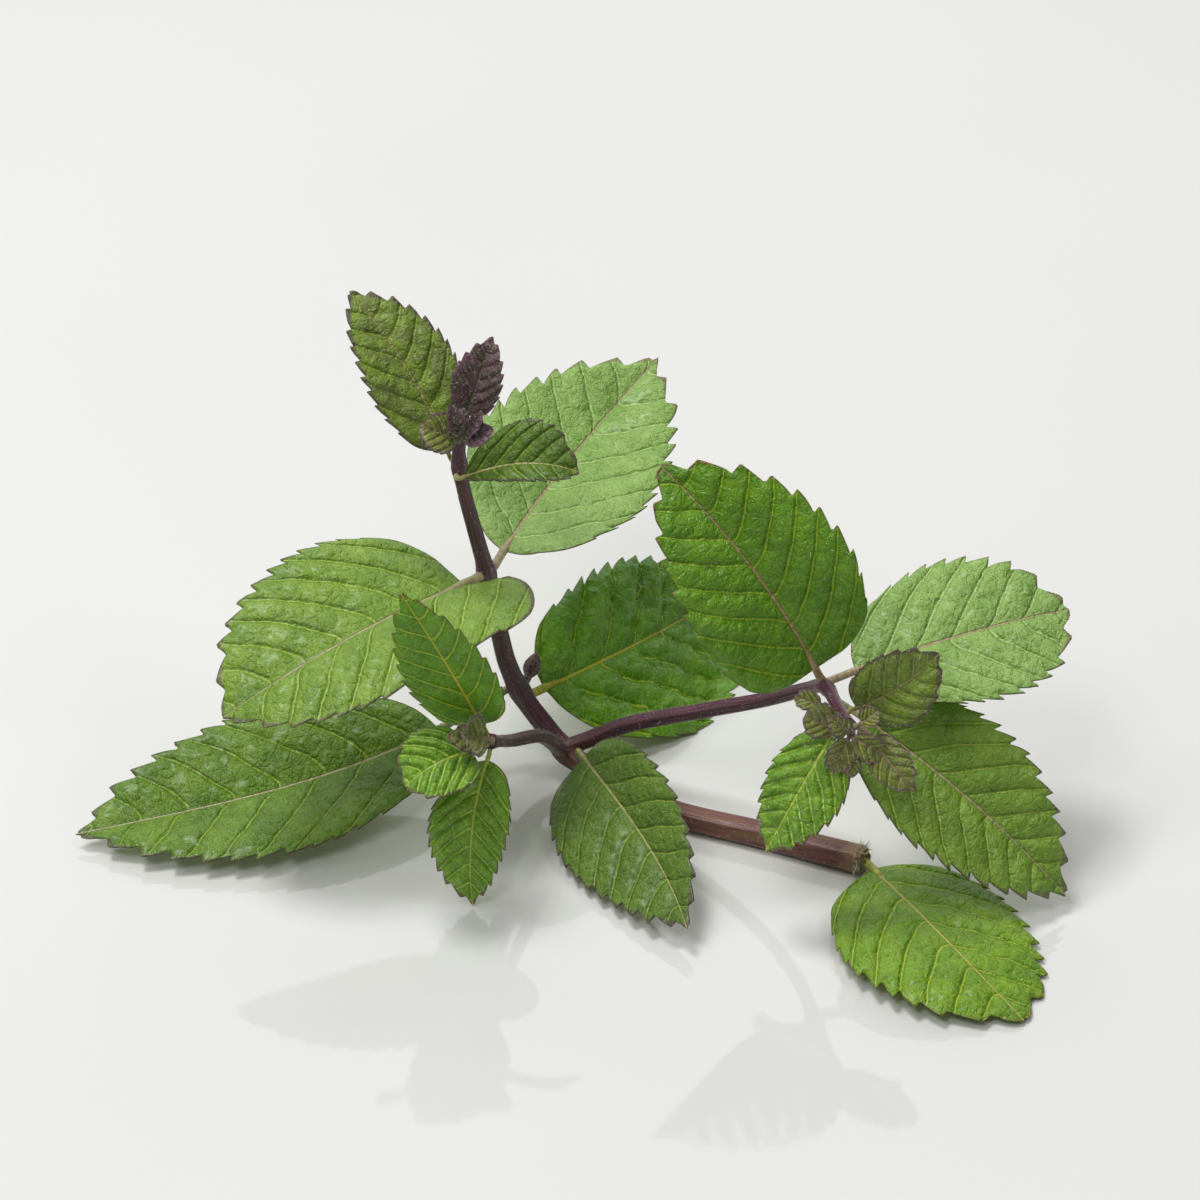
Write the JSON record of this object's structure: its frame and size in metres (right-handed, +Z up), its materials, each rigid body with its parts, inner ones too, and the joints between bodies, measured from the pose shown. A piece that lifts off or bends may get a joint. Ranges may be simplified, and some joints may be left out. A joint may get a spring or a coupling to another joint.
{
  "type": "peppermint sprig",
  "caption": "Cut peppermint sprig lying on its square purple stem, with two side shoots and toothed, veined green leaves in opposite pairs.",
  "frame": {"origin": "on the underside of the main stem, at the middle of the length that lies on the table", "axes": "+Z up from the table; +X towards the cut end of the lying stem, which is turned about 22 degrees from it; +Y towards the side that the back leaves lean to, away from the side shoots' tips"},
  "size_m": [0.1379, 0.1021, 0.0722],
  "materials": {
    "stem": "smooth, slightly glossy, dark purple brown",
    "leaf_green": "soft sheen, veined and slightly hairy",
    "leaf_pale": "matt, veined, pale green",
    "leaf_dark": "glossy, deeply veined",
    "leaf_bronze": "matt, purple brown over green",
    "leaf_purple": "matt, wrinkled, dark purple",
    "bud": "finely hairy"
  },
  "bodies": {
    "root": {"main_stem": "stem", "right_side_shoot": "stem", "left_side_shoot": "stem", "base_leaf": "leaf_green", "low_front_leaf": "leaf_dark", "low_left_leaf": "leaf_green", "low_back_leaf": "leaf_dark", "middle_front_leaf": "leaf_green", "middle_back_leaf": "leaf_pale", "top_left_leaf": "leaf_bronze", "top_right_leaf": "leaf_bronze", "tip_leaf_back": "leaf_purple", "tip_leaf_left": "leaf_bronze", "tip_leaf_right": "leaf_purple", "left_shoot_leaf_up": "leaf_dark", "left_shoot_leaf_down": "leaf_green", "left_shoot_leaf_young": "leaf_green", "left_shoot_leaf_small": "leaf_bronze", "right_shoot_leaf_tall": "leaf_dark", "right_shoot_leaf_back": "leaf_pale", "right_shoot_leaf_front": "leaf_pale", "right_shoot_leaf_upper": "leaf_bronze", "right_shoot_leaf_lower": "leaf_green", "right_shoot_leaflet": "leaf_pale", "right_bud_leaf_left": "leaf_bronze", "right_bud_leaf_right": "leaf_bronze", "right_bud_leaf_front": "leaf_bronze", "right_bud_leaf_outer": "leaf_bronze", "tip_bud": "bud", "side_bud": "bud", "left_shoot_bud": "bud", "right_shoot_bud": "bud"}
  },
  "joints": []
}
